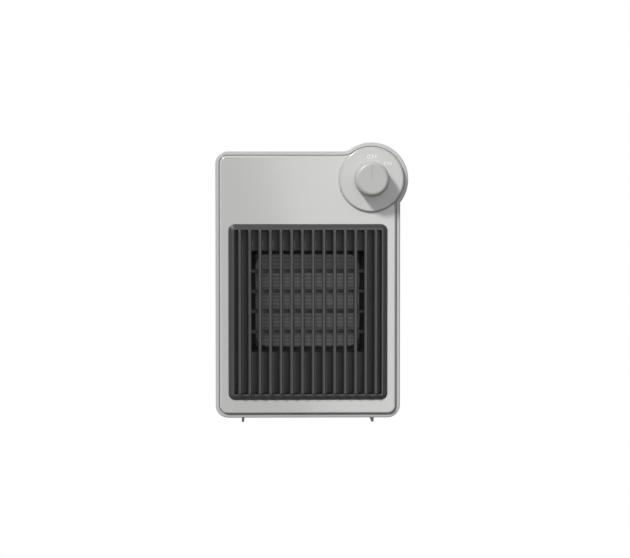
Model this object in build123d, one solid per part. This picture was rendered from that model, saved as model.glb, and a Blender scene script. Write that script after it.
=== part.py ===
from build123d import *
import math
import os

os.makedirs("parts", exist_ok=True)

# Fan heater with a ceramic element, in millimetres.
# +Z up, the front faces -Y, the feet stand on Z = 0, and the origin is under the middle of the
# whole object's box. Depths are counted from the front panel's face, positive into the body.
# Sketches are drawn in the front view: x from the body's middle, z from the floor.

# casing
BODY_WIDTH = 185.0
BODY_HEIGHT = 267.0
BODY_CORNER = 12.5
FOOT_HEIGHT = 5.0
WALL = 2.2
RIM_DEPTH = 3.0
RIM_WIDTH = 3.5
RIM_ROUND = 1.2
PANEL_GAP = 0.8
SEAT_DEPTH = 6.0
SEAT_THICKNESS = 2.5
SEAT_INSET = 10.0
SEAM_DEPTH = 92.0
BACK_DEPTH = 120.0
BACK_ROUND = 9.0

# round dial surround that stands past the casing's top right corner
BOSS_RADIUS = 37.0
BOSS_FROM_SIDE = 29.0
BOSS_FROM_TOP = 28.0
BOSS_TOP_BLEND = 13.0
BOSS_SIDE_BLEND = 2.5
BOSS_END_DEPTH = 30.0
BOSS_FADE_LENGTH = 16.0
BOSS_FADE_MARGIN = 0.8
BOSS_LAND = 1.0

# front panel and dial
PANEL_THICKNESS = 2.5
PANEL_ROUND = 2.0
DIAL_PROUD = 3.0
DIAL_ROUND = 2.0
DIAL_SHELL = 2.5
DIAL_BORE_GAP = 1.0
DIAL_GAP = 0.2
KNOB_RADIUS = 17.0
KNOB_HEIGHT = 19.5
KNOB_ROUND = 4.0
KNOB_GAP = 0.5
KNOB_WALL = 2.0
KNOB_BORE_WALL = 2.0
POINTER_WIDTH = 1.6
POINTER_LENGTH = 13.5
POINTER_DEPTH = 0.5

# outlet grille, placed by its margins to the casing's sides, bottom and top
GRILLE_SIDE = 13.0
GRILLE_BOTTOM = 18.4
GRILLE_TOP = 72.6
GRILLE_CORNER = 6.5
GRILLE_FRAME = 5.7
GRILLE_STEP = 0.6
GRILLE_CREST = 3.4
GRILLE_SLOPE = 57.0
GRILLE_OVERLAP = 3.5
GRILLE_OPEN_CORNER = 1.5
GRILLE_SKIRT_CORNER = 2.0
BAR_WIDTH = 3.4
BAR_PROUD = 8.0
BAR_DEPTH = 9.5
BAR_PITCH = 10.75
BAR_CURVE_RADIUS = 167.0
BAR_ROUND = 1.3
BAR_END_ROUND = 1.8
BAR_ROOT = 0.3

# outlet duct, heater box and element
DUCT_ABOVE_GRILLE_MIDDLE = 10.3
DUCT_WIDTH = 113.0
DUCT_HEIGHT = 102.0
DUCT_CORNER = 1.5
DUCT_WALL = 2.0
DUCT_PLATE_DEPTH = 8.0
DUCT_PLATE_THICKNESS = 2.0
DUCT_END_DEPTH = 30.0
DUCT_TAPER = 10.0
RIB_COUNT = 4
RIB_PITCH = 20.25
RIB_HEIGHT = 3.3
RIB_DEPTH = 4.0
WINDOW_CORNER = 13.0
DUCT_PLATE_CORNER = 3.0
BOX_CORNER = 4.0
BOX_INNER_CORNER = 2.0
BOX_WALL = 2.5
BOX_LIP = 1.5
BOX_END_DEPTH = 57.0
FLANGE_MARGIN = 7.5
FLANGE_CORNER = 8.0
FLANGE_THICKNESS = 3.0
STACK_SCREW_INSET = 4.5
STACK_POST_RADIUS = 3.8
GUARD_THICKNESS = 0.8
GUARD_BORDER = 5.0
GUARD_WIRE = 0.6
GUARD_COLUMNS = 9
GUARD_ROWS = 8
GUARD_CORNER = 3.0
GUARD_WINDOW_CORNER = 4.0
GUARD_WELD = 0.5
PTC_DEPTH = 35.0
PTC_THICKNESS = 17.0
PTC_CAP_WIDTH = 8.5
PTC_CAP_CORNER = 2.0
PTC_CAP_GRIP = 2.0
STACK_MARGIN = 4.1
FIN_ROWS = 5
FIN_COUNT = 22
FIN_THICKNESS = 0.5
FIN_SETBACK = 1.0
HEATER_BAR_HEIGHT = 6.2
HEATER_BAR_THICKNESS = 12.0
RAIL_HEIGHT = 2.0
RAIL_SETBACK = 2.0
TAB_WIDTH = 6.3
TAB_THICKNESS = 0.8
TAB_LENGTH = 9.0

# fan
SHROUD_RADIUS = 49.5
SHROUD_WALL = 2.5
SHROUD_END_DEPTH = 84.0
SPIDER_THICKNESS = 3.0
SPIDER_BOLT_MARGIN = 6.5
SPIDER_POST_RADIUS = 4.8
SPIDER_ARM = 10.0
FAN_TIP_GAP = 3.0
FAN_DEPTH = 65.0
FAN_LENGTH = 14.0
HUB_RADIUS = 13.0
HUB_WALL = 2.0
HUB_FACE = 3.0
HUB_ROUND = 3.0
HUB_SLEEVE = 2.5
BLADE_COUNT = 7
BLADE_THICKNESS = 1.6
BLADE_PITCH = 33.0
BLADE_ROOT = 1.0
BLADE_SETBACK = 1.0

# motor
SHAFT_RADIUS = 2.0
SHAFT_PAST_FAN = 1.5
SHAFT_PAST_STATOR = 5.5
ROTOR_RADIUS = 11.6
ROTOR_GAP = 0.4
ROTOR_SETBACK = 1.0
STATOR_DEPTH = 91.5
STATOR_THICKNESS = 16.0
STATOR_WIDTH = 60.0
STATOR_BELOW = 19.0
STATOR_ABOVE = 37.0
STATOR_LIMB = 10.0
STATOR_LEG = 13.0
STATOR_STEP = 1.0
STATOR_CORNER = 2.0
COIL_WIDTH = 32.0
COIL_BUILD = 8.0
COIL_PAST_STATOR = 4.0
COIL_CORNER = 3.0
STRAP_THICKNESS = 2.0
STRAP_WIDTH = 16.0
STRAP_CORNER = 3.0
STRAP_STANDOFF = 2.5
BUSH_RADIUS = 4.0
BUSH_LENGTH = 4.5
HOUSING_WALL = 2.5
MOTOR_BOLT_OFFSET = 26.0
MOTOR_LEAD_OFFSET = 8.0

# switch and tip-over switch
SWITCH_SIZE = 30.0
SWITCH_CORNER = 3.0
SWITCH_LENGTH = 20.0
SWITCH_TAB_PITCH = 9.0
SWITCH_TAB_DROP = 8.0
SWITCH_SHAFT_RADIUS = 3.0
SWITCH_FLAT = 1.0
SHAFT_INSERTION = 6.0
BUSHING_RADIUS = 4.7
BUSHING_LENGTH = 8.0
BUSHING_GAP = 1.0
NUT_ACROSS = 14.0
NUT_THICKNESS = 2.5
TIP_FROM_FOOT = 35.3
TIP_DEPTH = 76.0
TIP_RADIUS = 4.0
TIP_ROUND = 1.0
TIP_POST_RADIUS = 4.0
TIP_GUIDE_TOP = 16.0
TIP_GUIDE_WALL = 2.6
TIP_TRAVEL = 4.0
TIP_COLLAR_RADIUS = 6.0
TIP_COLLAR_THICKNESS = 1.8
TIP_STEM_RADIUS = 2.0
TIP_STEM_TOP = 37.0
TIP_STEM_ROOM = 1.5
TIP_SWITCH_BOTTOM = 32.0
TIP_SWITCH_HEIGHT = 16.0
TIP_SWITCH_WIDTH = 22.0
TIP_SWITCH_THICKNESS = 12.0
TIP_EAR_OFFSET = 16.0
TIP_EAR_THICKNESS = 3.0
TIP_TAB_OFFSET = 6.0
TIP_SCREW_LENGTH = 10.0
SPRING_WIRE = 0.4
SPRING_COIL = 3.6
SPRING_TURNS = 4
SPRING_SEAT = 0.05

# feet, terminals and gland
FOOT_FROM_SIDE = 27.2
FOOT_ROUND = 2.0
FOOT_WIDTH = 2.2
FOOT_START = 8.0
FOOT_END = 112.0
FOOT_FLANGE_WIDTH = 7.0
FOOT_FLANGE_THICKNESS = 1.6
FOOT_FLANGE_START = 14.0
FOOT_FLANGE_END = 84.0
TERMINAL_FROM_FOOT = 24.3
TERMINAL_SCREW_X = 12.0
TERMINAL_SCREW_SEAT = 6.0
TERMINAL_DEPTH = 74.0
TERMINAL_WIDTH = 36.0
TERMINAL_THICKNESS = 16.0
TERMINAL_HEIGHT = 14.0
TERMINAL_PAD = 4.0
TERMINAL_PITCH = 6.0
GLAND_FROM_FOOT = 17.3
GLAND_Z = 27.0
GLAND_BORE = 3.6
GLAND_RADIUS = 7.6
GLAND_FLANGE = 10.5
GLAND_FLANGE_THICKNESS = 3.0
GLAND_LENGTH = 13.0
GLAND_BARB = 1.4
GLAND_ROUND = 1.0

# cut-out and fuse on the heater box
CUTOUT_RADIUS = 8.5
CUTOUT_HEIGHT = 8.0
CUTOUT_TAB_OFFSET = 5.0
CUTOUT_ROUND = 1.0
FUSE_RADIUS = 2.0
FUSE_LEAD_RADIUS = 0.5
FUSE_LENGTH = 12.0
FUSE_LEAD = 5.0
FUSE_OFFSET = 20.0

# screws and wires
SCREW_RADIUS = 1.5
SCREW_HOLE = 1.8
SCREW_HEAD_RADIUS = 3.2
SCREW_HEAD_HEIGHT = 2.2
SCREW_SLOT_DEPTH = 1.0
SCREW_SLOT_WIDTH = 0.9
SCREW_SLOT_LENGTH = 4.2
SCREW_END_GAP = 2.0
SCREW_TIP_GAP = 0.5
PILOT_CLEARANCE = 0.05
PILOT_DEPTH = 14.0
COVER_SEAT_DEPTH = 98.0
PANEL_POST_FROM_SIDE = 32.5
PANEL_POST_RADIUS = 3.5
PANEL_POST_MARGIN = 1.5
POST_RADIUS = 5.0
POST_FROM_SIDE = 14.0
POST_WEB = 2.0
WIRE_RADIUS = 1.2
WIRE_BEND = 2.8
MOTOR_RUN_DEPTH = 100.0
MOTOR_RUN_FROM_POST = 12.5
INTAKE_RADIUS = 52.0
INTAKE_SLOT = 3.6
INTAKE_PITCH = 6.6
INTAKE_RIB = 3.0

# clearances
FIT = 0.3
LOOSE = 0.35
RUNNING = 0.04
SEAT = 0.02

# values that follow from the ones above
TOP = FOOT_HEIGHT + BODY_HEIGHT
BOSS_X = BODY_WIDTH / 2 - BOSS_FROM_SIDE
BOSS_Z = TOP - BOSS_FROM_TOP
BOSS_PAST_SIDE = BOSS_RADIUS - BOSS_FROM_SIDE
BODY_X = -BOSS_PAST_SIDE / 2
PANEL_INSET = RIM_WIDTH + PANEL_GAP
DIAL_RADIUS = BOSS_RADIUS - PANEL_INSET
KNOB_BACK = -DIAL_PROUD - KNOB_GAP
KNOB_FACE = KNOB_BACK - KNOB_HEIGHT
GLAND_BACK = BACK_DEPTH + GLAND_FLANGE_THICKNESS
PANEL_Y = -(KNOB_FACE + GLAND_BACK) / 2
BOSS_PAST_TOP = BOSS_RADIUS - BOSS_FROM_TOP
SHAFT_FRONT = KNOB_FACE + 3 * KNOB_WALL
SOCKET_RADIUS = SWITCH_SHAFT_RADIUS + KNOB_BORE_WALL
SEAT_BACK = SEAT_DEPTH + SEAT_THICKNESS
GRILLE_WIDTH = BODY_WIDTH - 2 * GRILLE_SIDE
GRILLE_HEIGHT = BODY_HEIGHT - GRILLE_BOTTOM - GRILLE_TOP
GRILLE_Z = FOOT_HEIGHT + GRILLE_BOTTOM + GRILLE_HEIGHT / 2
DUCT_Z = GRILLE_Z + DUCT_ABOVE_GRILLE_MIDDLE
GRILLE_OPEN_WIDTH = GRILLE_WIDTH - 2 * GRILLE_FRAME
GRILLE_OPEN_HEIGHT = GRILLE_HEIGHT - 2 * GRILLE_FRAME
PANEL_OPEN_WIDTH = GRILLE_WIDTH - 2 * GRILLE_OVERLAP
PANEL_OPEN_HEIGHT = GRILLE_HEIGHT - 2 * GRILLE_OVERLAP
BAR_COUNT = round(GRILLE_OPEN_WIDTH / BAR_PITCH)
PANEL_POST_X = BODY_WIDTH / 2 - PANEL_POST_FROM_SIDE
PANEL_POST_LOW = FOOT_HEIGHT + GRILLE_BOTTOM + GRILLE_OVERLAP - PANEL_POST_RADIUS - PANEL_POST_MARGIN
PANEL_POST_HIGH = 2 * GRILLE_Z - PANEL_POST_LOW
DUCT_PLATE_WIDTH = PANEL_OPEN_WIDTH
DUCT_PLATE_HEIGHT = PANEL_POST_HIGH - PANEL_POST_LOW + 2 * PANEL_POST_RADIUS
DUCT_PLATE_BACK = DUCT_PLATE_DEPTH + DUCT_PLATE_THICKNESS
DUCT_SHRINK = (DUCT_END_DEPTH - DUCT_PLATE_DEPTH) * math.tan(math.radians(DUCT_TAPER))
WINDOW_WIDTH = DUCT_WIDTH - 2 * DUCT_SHRINK
WINDOW_HEIGHT = DUCT_HEIGHT - 2 * DUCT_SHRINK
BOX_WIDTH = DUCT_WIDTH
BOX_HEIGHT = DUCT_HEIGHT
BOX_FRONT = DUCT_END_DEPTH
BOX_TOP = DUCT_Z + BOX_HEIGHT / 2 + BOX_WALL
SPIDER_BOLT_RADIUS = SHROUD_RADIUS + SPIDER_BOLT_MARGIN
FLANGE_SIZE = max(BOX_WIDTH, BOX_HEIGHT, 2 * SPIDER_BOLT_RADIUS) + 2 * FLANGE_MARGIN
STACK_SCREW_OFFSET = FLANGE_SIZE / 2 - STACK_SCREW_INSET
GUARD_DEPTH = BOX_FRONT + BOX_LIP
STACK_LOW = DUCT_Z - BOX_HEIGHT / 2 + STACK_MARGIN
STACK_HEIGHT = BOX_HEIGHT - 2 * STACK_MARGIN
FIN_ROW_HEIGHT = (STACK_HEIGHT - 2 * RAIL_HEIGHT - (FIN_ROWS - 1) * HEATER_BAR_HEIGHT) / FIN_ROWS
ELEMENT_WIDTH = BOX_WIDTH - 2 * FIT
FIN_WIDTH = ELEMENT_WIDTH - 2 * PTC_CAP_WIDTH
PTC_BACK = PTC_DEPTH + PTC_THICKNESS
ELEMENT_MIDDLE = PTC_DEPTH + PTC_THICKNESS / 2
TAB_END_X = -BOX_WIDTH / 2 - BOX_WALL - TAB_LENGTH
SHROUD_DEPTH = BOX_END_DEPTH
SPIDER_DEPTH = SHROUD_END_DEPTH
STATOR_BACK = STATOR_DEPTH + STATOR_THICKNESS
STRAP_FRONT = STATOR_DEPTH - STRAP_STANDOFF - STRAP_THICKNESS
STRAP_BACK = STATOR_BACK + STRAP_STANDOFF
BUSH_FRONT = STATOR_DEPTH - FIT - BUSH_LENGTH
BUSH_BACK = STATOR_BACK + FIT
LIMB_MIDDLE = DUCT_Z + STATOR_ABOVE - STATOR_LIMB / 2
COIL_TOP = LIMB_MIDDLE + STATOR_LIMB / 2 + COIL_BUILD
POST_X = BODY_WIDTH / 2 - POST_FROM_SIDE
POST_LOW = FOOT_HEIGHT + POST_FROM_SIDE
POST_HIGH = TOP - POST_FROM_SIDE
FLOOR_INSIDE = FOOT_HEIGHT + WALL
FOOT_OFFSET = BODY_WIDTH / 2 - FOOT_FROM_SIDE
TIP_X = FOOT_OFFSET - TIP_FROM_FOOT
SPRING_LOW = TIP_GUIDE_TOP + TIP_TRAVEL + LOOSE + TIP_COLLAR_THICKNESS
SPRING_HIGH = TIP_SWITCH_BOTTOM
TERMINAL_X = TERMINAL_FROM_FOOT - FOOT_OFFSET
TERMINAL_LOW = FLOOR_INSIDE + TERMINAL_PAD
TERMINAL_SEAT = TERMINAL_LOW + TERMINAL_SCREW_SEAT
GLAND_X = GLAND_FROM_FOOT - FOOT_OFFSET
SIDE_RUN_X = (BODY_WIDTH / 2 - WALL - TAB_END_X) / 2
MOTOR_RUN_X = MOTOR_RUN_FROM_POST - POST_X
EPS = 0.001


def slab(sketch, front, back, taper=0.0):
    """A front-view sketch given a depth, shrinking towards the back by the taper angle."""
    plane = Plane(origin=(BODY_X, PANEL_Y + front, 0), x_dir=(1, 0, 0), z_dir=(0, -1, 0))
    return extrude(plane * sketch, amount=back - front, dir=(0, 1, 0), taper=taper)


def raised(sketch, back, front, taper):
    """A front-view sketch given a depth, shrinking towards the front by the taper angle."""
    plane = Plane(origin=(BODY_X, PANEL_Y + back, 0), x_dir=(1, 0, 0), z_dir=(0, -1, 0))
    return extrude(plane * sketch, amount=back - front, dir=(0, -1, 0), taper=taper)


def rect(x, z, width, height):
    return Pos(x, z) * Rectangle(width, height)


def rounded(x, z, width, height, radius):
    return Pos(x, z) * RectangleRounded(width, height, radius)


def rod(x, z, radius, front, back):
    return slab(Pos(x, z) * Circle(radius), front, back)


def ring(x, z, outer, inner, front, back):
    return rod(x, z, outer, front, back) - rod(x, z, inner, front, back)


def column(x, depth, radius, low, high):
    place = Pos(BODY_X + x, PANEL_Y + depth, low)
    return place * Cylinder(radius, high - low, align=(Align.CENTER, Align.CENTER, Align.MIN))


def block(x, depth, low, width, thickness, height):
    place = Pos(BODY_X + x, PANEL_Y + depth, low)
    return place * Box(width, thickness, height, align=(Align.CENTER, Align.CENTER, Align.MIN))


def edges_at(solid, depth):
    """The edges that lie wholly in the plane at this depth."""
    y = PANEL_Y + depth
    flat = []
    for edge in solid.edges():
        span = edge.bounding_box()
        if abs(span.min.Y - y) < EPS * 10 and abs(span.max.Y - y) < EPS * 10:
            flat.append(edge)
    return flat


def largest_wire_edges(solid, depth):
    """The edges of the outline of the face at this depth."""
    y = PANEL_Y + depth
    faces = [face for face in solid.faces() if abs(face.center().Y - y) < EPS * 10]
    faces.sort(key=lambda face: face.area)
    return faces[-1].outer_wire().edges()


def corners(offset_x, offset_z):
    return [(sx * offset_x, sz * offset_z) for sx in (-1, 1) for sz in (-1, 1)]


# outlines in the front view

def body_outline(inset):
    width = BODY_WIDTH - 2 * inset
    height = BODY_HEIGHT - 2 * inset
    return rounded(0, FOOT_HEIGHT + BODY_HEIGHT / 2, width, height, max(BODY_CORNER - inset, 1.0))


def front_outline(inset):
    """The body's rounded rectangle with the round dial surround blended into it."""
    radius = BOSS_RADIUS - inset
    centre = Vector(BOSS_X, BOSS_Z)
    joined = body_outline(inset) + Pos(BOSS_X, BOSS_Z) * Circle(radius)

    def on_circle(vertex):
        return abs((Vector(vertex.X, vertex.Y) - centre).length - radius) < EPS

    top = [v for v in joined.vertices() if on_circle(v) and abs(v.Y - TOP + inset) < EPS]
    joined = fillet(top, BOSS_TOP_BLEND + inset)
    side_x = BODY_WIDTH / 2 - inset
    side = [v for v in joined.vertices() if on_circle(v) and abs(v.X - side_x) < EPS]
    return fillet(side, BOSS_SIDE_BLEND + inset)


# fasteners

def screw(x, z, head_front, shank_end):
    """A pan-head screw driven from the back, its head standing on the plane head_front."""
    head = rod(x, z, SCREW_HEAD_RADIUS, head_front, head_front + SCREW_HEAD_HEIGHT)
    shank = rod(x, z, SCREW_RADIUS, shank_end, head_front)
    slot_front = head_front + SCREW_HEAD_HEIGHT - SCREW_SLOT_DEPTH
    slot_back = head_front + SCREW_HEAD_HEIGHT
    cross = rect(x, z, SCREW_SLOT_LENGTH, SCREW_SLOT_WIDTH)
    cross += rect(x, z, SCREW_SLOT_WIDTH, SCREW_SLOT_LENGTH)
    return head + shank - slab(cross, slot_front, slot_back)


def upright_screw(x, depth, seat, low):
    head = column(x, depth, SCREW_HEAD_RADIUS, seat, seat + SCREW_HEAD_HEIGHT)
    shank = column(x, depth, SCREW_RADIUS, low, seat)
    slot_low = seat + SCREW_HEAD_HEIGHT - SCREW_SLOT_DEPTH
    slot = block(x, depth, slot_low, SCREW_SLOT_LENGTH, SCREW_SLOT_WIDTH, SCREW_SLOT_DEPTH)
    return head + shank - slot


def pilot(x, z, front, back):
    return rod(x, z, SCREW_RADIUS + PILOT_CLEARANCE, front, back)


# casing and covers

def casing():
    fade_end = BOSS_END_DEPTH + BOSS_FADE_LENGTH
    fade_angle = math.degrees(math.atan((BOSS_PAST_TOP + BOSS_FADE_MARGIN) / BOSS_FADE_LENGTH))
    outer = slab(body_outline(0), RIM_DEPTH, SEAM_DEPTH)
    outer += slab(front_outline(0), RIM_DEPTH, BOSS_END_DEPTH)
    outer += slab(front_outline(0), BOSS_END_DEPTH, fade_end, taper=fade_angle)
    outer = fillet(largest_wire_edges(outer, RIM_DEPTH), RIM_ROUND)
    inner = slab(body_outline(WALL), SEAT_BACK, SEAM_DEPTH)
    inner += slab(front_outline(WALL), SEAT_BACK, BOSS_END_DEPTH)
    inner += slab(front_outline(WALL), BOSS_END_DEPTH, fade_end, taper=fade_angle)
    shell = outer - inner
    shell -= slab(front_outline(RIM_WIDTH), RIM_DEPTH, SEAT_DEPTH)
    land = Pos(BOSS_X, BOSS_Z) * Circle(BOSS_RADIUS - BOSS_LAND)
    shell -= slab(body_outline(SEAT_INSET) - land, SEAT_DEPTH, SEAT_BACK)
    shell -= rod(BOSS_X, BOSS_Z, BUSHING_RADIUS + FIT, SEAT_DEPTH, SEAT_BACK)
    middle_z = FOOT_HEIGHT + BODY_HEIGHT / 2
    for x, z in cover_screw_places():
        web_x = x + math.copysign(POST_FROM_SIDE / 2, x)
        web_z = z + math.copysign(POST_FROM_SIDE / 2, z - middle_z)
        webs = rect(web_x, z, POST_FROM_SIDE, POST_WEB) + rect(x, web_z, POST_WEB, POST_FROM_SIDE)
        post = slab(webs + Pos(x, z) * Circle(POST_RADIUS), SEAM_DEPTH - 2 * PILOT_DEPTH, SEAM_DEPTH)
        shell += post & slab(body_outline(WALL / 2), 0, SEAM_DEPTH)
        shell -= pilot(x, z, SEAM_DEPTH - PILOT_DEPTH, SEAM_DEPTH)
    for x in (-FOOT_OFFSET, FOOT_OFFSET):
        slot_depth = (FOOT_FLANGE_START + FOOT_FLANGE_END) / 2
        slot_length = FOOT_FLANGE_END - FOOT_FLANGE_START
        slot_width = FOOT_WIDTH + 2 * SEAT
        shell -= block(x, slot_depth, FOOT_HEIGHT, slot_width, slot_length + 2 * SEAT, WALL)
    shell += column(TIP_X, TIP_DEPTH, TIP_RADIUS + LOOSE + TIP_GUIDE_WALL, FLOOR_INSIDE, TIP_GUIDE_TOP)
    shell -= column(TIP_X, TIP_DEPTH, TIP_RADIUS + LOOSE, FOOT_HEIGHT, TIP_GUIDE_TOP)
    for x in (TIP_X - TIP_EAR_OFFSET, TIP_X + TIP_EAR_OFFSET):
        shell += column(x, TIP_DEPTH, TIP_POST_RADIUS, FLOOR_INSIDE, TIP_SWITCH_BOTTOM)
        low = TIP_SWITCH_BOTTOM - TIP_SCREW_LENGTH
        shell -= column(x, TIP_DEPTH, SCREW_RADIUS + PILOT_CLEARANCE, low, TIP_SWITCH_BOTTOM)
    pad_top = FLOOR_INSIDE + TERMINAL_PAD
    for x in (TERMINAL_X - TERMINAL_SCREW_X, TERMINAL_X + TERMINAL_SCREW_X):
        shell += column(x, TERMINAL_DEPTH, POST_RADIUS, FLOOR_INSIDE, pad_top)
        shell -= column(x, TERMINAL_DEPTH, SCREW_RADIUS + PILOT_CLEARANCE, FLOOR_INSIDE, pad_top)
    return shell


def cover_screw_places():
    return [(sx * POST_X, z) for sx in (-1, 1) for z in (POST_LOW, POST_HIGH)]


def intake_slots():
    """Finger-safe horizontal slots inside a circle, crossed by three upright ribs."""
    slots = None
    count = int(INTAKE_RADIUS // INTAKE_PITCH)
    for index in range(-count, count + 1):
        z = index * INTAKE_PITCH
        half = math.sqrt(INTAKE_RADIUS ** 2 - z ** 2)
        if half > INTAKE_SLOT * 2:
            slot = Pos(0, DUCT_Z + z) * SlotOverall(2 * half, INTAKE_SLOT)
            slots = slot if slots is None else slots + slot
    for x in (-INTAKE_RADIUS / 2, 0, INTAKE_RADIUS / 2):
        slots -= rect(x, DUCT_Z, INTAKE_RIB, 2 * INTAKE_RADIUS)
    return slots


def rear_cover():
    outer = slab(body_outline(0), SEAM_DEPTH, BACK_DEPTH)
    outer = fillet(largest_wire_edges(outer, BACK_DEPTH), BACK_ROUND)
    inner_back = BACK_DEPTH - WALL
    inner = slab(body_outline(WALL), SEAM_DEPTH, inner_back)
    inner = fillet(largest_wire_edges(inner, inner_back), BACK_ROUND - WALL)
    shell = outer - inner
    for x, z in cover_screw_places():
        shell += rod(x, z, POST_RADIUS, SEAM_DEPTH, inner_back)
        shell -= rod(x, z, SCREW_HOLE, SEAM_DEPTH, BACK_DEPTH)
        shell -= rod(x, z, SCREW_HEAD_RADIUS + FIT, COVER_SEAT_DEPTH, BACK_DEPTH)
    shell -= slab(intake_slots(), inner_back, BACK_DEPTH)
    shell -= rod(GLAND_X, GLAND_Z, GLAND_RADIUS + SEAT, inner_back, BACK_DEPTH)
    return shell


def cover_screws():
    end = SEAM_DEPTH - PILOT_DEPTH + SCREW_END_GAP
    return [screw(x, z, COVER_SEAT_DEPTH, end) for x, z in cover_screw_places()]


# front panel, dial and knob

def panel_post_places():
    return [(sx * PANEL_POST_X, z) for sx in (-1, 1) for z in (PANEL_POST_LOW, PANEL_POST_HIGH)]


def front_panel():
    bite = Pos(BOSS_X, BOSS_Z) * Circle(DIAL_RADIUS + DIAL_GAP)
    plate = slab(front_outline(PANEL_INSET), 0, SEAT_DEPTH)
    plate = fillet(largest_wire_edges(plate, 0), PANEL_ROUND)
    plate -= slab(bite, 0, SEAT_DEPTH)
    hollow = front_outline(PANEL_INSET + PANEL_THICKNESS)
    hollow -= Pos(BOSS_X, BOSS_Z) * Circle(DIAL_RADIUS + DIAL_GAP + PANEL_THICKNESS)
    plate -= slab(hollow, PANEL_THICKNESS, SEAT_DEPTH)
    opening = rounded(0, GRILLE_Z, PANEL_OPEN_WIDTH, PANEL_OPEN_HEIGHT, GRILLE_CORNER - GRILLE_OVERLAP)
    plate -= slab(opening, 0, SEAT_DEPTH)
    for x, z in panel_post_places():
        plate += rod(x, z, PANEL_POST_RADIUS, PANEL_THICKNESS, DUCT_PLATE_DEPTH)
        plate -= pilot(x, z, PANEL_THICKNESS, DUCT_PLATE_DEPTH)
    return plate.solids().sort_by(SortBy.VOLUME)[-1]


def dial_plate():
    disc = rod(BOSS_X, BOSS_Z, DIAL_RADIUS, -DIAL_PROUD, SEAT_DEPTH)
    disc = fillet(largest_wire_edges(disc, -DIAL_PROUD), DIAL_ROUND)
    hollow_front = -DIAL_PROUD + DIAL_SHELL
    disc -= rod(BOSS_X, BOSS_Z, DIAL_RADIUS - DIAL_SHELL, hollow_front, SEAT_DEPTH)
    disc -= rod(BOSS_X, BOSS_Z, SWITCH_SHAFT_RADIUS + DIAL_BORE_GAP, -DIAL_PROUD, hollow_front)
    return disc


def shaft_section(clearance):
    radius = SWITCH_SHAFT_RADIUS + clearance
    flat_x = SWITCH_SHAFT_RADIUS - SWITCH_FLAT + clearance
    cut = rect(BOSS_X + flat_x + radius, BOSS_Z, 2 * radius, 4 * radius)
    return Pos(BOSS_X, BOSS_Z) * Circle(radius) - cut


def knob():
    body = rod(BOSS_X, BOSS_Z, KNOB_RADIUS, KNOB_FACE, KNOB_BACK)
    body = fillet(largest_wire_edges(body, KNOB_FACE), KNOB_ROUND)
    hollow = rod(BOSS_X, BOSS_Z, KNOB_RADIUS - KNOB_WALL, KNOB_FACE + 2 * KNOB_WALL, KNOB_BACK)
    hollow -= rod(BOSS_X, BOSS_Z, SOCKET_RADIUS, KNOB_FACE, KNOB_BACK)
    body -= hollow
    body -= slab(shaft_section(SEAT), SHAFT_FRONT - SEAT, KNOB_BACK)
    groove = rect(BOSS_X, BOSS_Z + POINTER_LENGTH / 2, POINTER_WIDTH, POINTER_LENGTH)
    return body - slab(groove, KNOB_FACE, KNOB_FACE + POINTER_DEPTH)


def switch_shaft():
    flat_end = SEAT_BACK - BUSHING_LENGTH - BUSHING_GAP
    flat = slab(shaft_section(0), SHAFT_FRONT, flat_end)
    return flat + rod(BOSS_X, BOSS_Z, SWITCH_SHAFT_RADIUS, flat_end, SEAT_BACK + SHAFT_INSERTION)


def rotary_switch():
    outline = rounded(BOSS_X, BOSS_Z, SWITCH_SIZE, SWITCH_SIZE, SWITCH_CORNER)
    body = slab(outline, SEAT_BACK, SEAT_BACK + SWITCH_LENGTH)
    body += rod(BOSS_X, BOSS_Z, BUSHING_RADIUS, SEAT_BACK - BUSHING_LENGTH, SEAT_BACK)
    bore_back = SEAT_BACK + SHAFT_INSERTION + FIT
    body -= rod(BOSS_X, BOSS_Z, SWITCH_SHAFT_RADIUS + RUNNING, SEAT_BACK - BUSHING_LENGTH, bore_back)
    for offset in (-SWITCH_TAB_PITCH, 0, SWITCH_TAB_PITCH):
        tab = rect(BOSS_X + offset, BOSS_Z - SWITCH_TAB_DROP, TAB_THICKNESS, TAB_WIDTH)
        body += slab(tab, SEAT_BACK + SWITCH_LENGTH, SEAT_BACK + SWITCH_LENGTH + TAB_LENGTH)
    return body


def switch_nut():
    hexagon = Pos(BOSS_X, BOSS_Z) * RegularPolygon(NUT_ACROSS / 2, 6, major_radius=False)
    hexagon -= Pos(BOSS_X, BOSS_Z) * Circle(BUSHING_RADIUS + SEAT)
    return slab(hexagon, SEAT_DEPTH - NUT_THICKNESS, SEAT_DEPTH)


# outlet

def bar_places():
    """Even steps round a gently curved front, seen from straight ahead."""
    step = BAR_PITCH / BAR_CURVE_RADIUS
    half = BAR_COUNT / 2
    return [BAR_CURVE_RADIUS * math.sin((i + 0.5 - half) * step) for i in range(BAR_COUNT)]


def grille_bar(x):
    """An upright bar with a rounded front, its ends curving back to the frame."""
    length = GRILLE_OPEN_HEIGHT + 2 * BAR_ROOT
    bar = slab(rect(x, GRILLE_Z, BAR_WIDTH, length), -BAR_PROUD, BAR_DEPTH - BAR_PROUD)
    front = edges_at(bar, -BAR_PROUD)
    ends = [edge for edge in front if edge.length < 2 * BAR_WIDTH]
    bar = fillet(ends, BAR_END_ROUND)
    flanks = [edge for edge in edges_at(bar, -BAR_PROUD) if edge.length > 2 * BAR_WIDTH]
    return fillet(flanks, BAR_ROUND)


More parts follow.
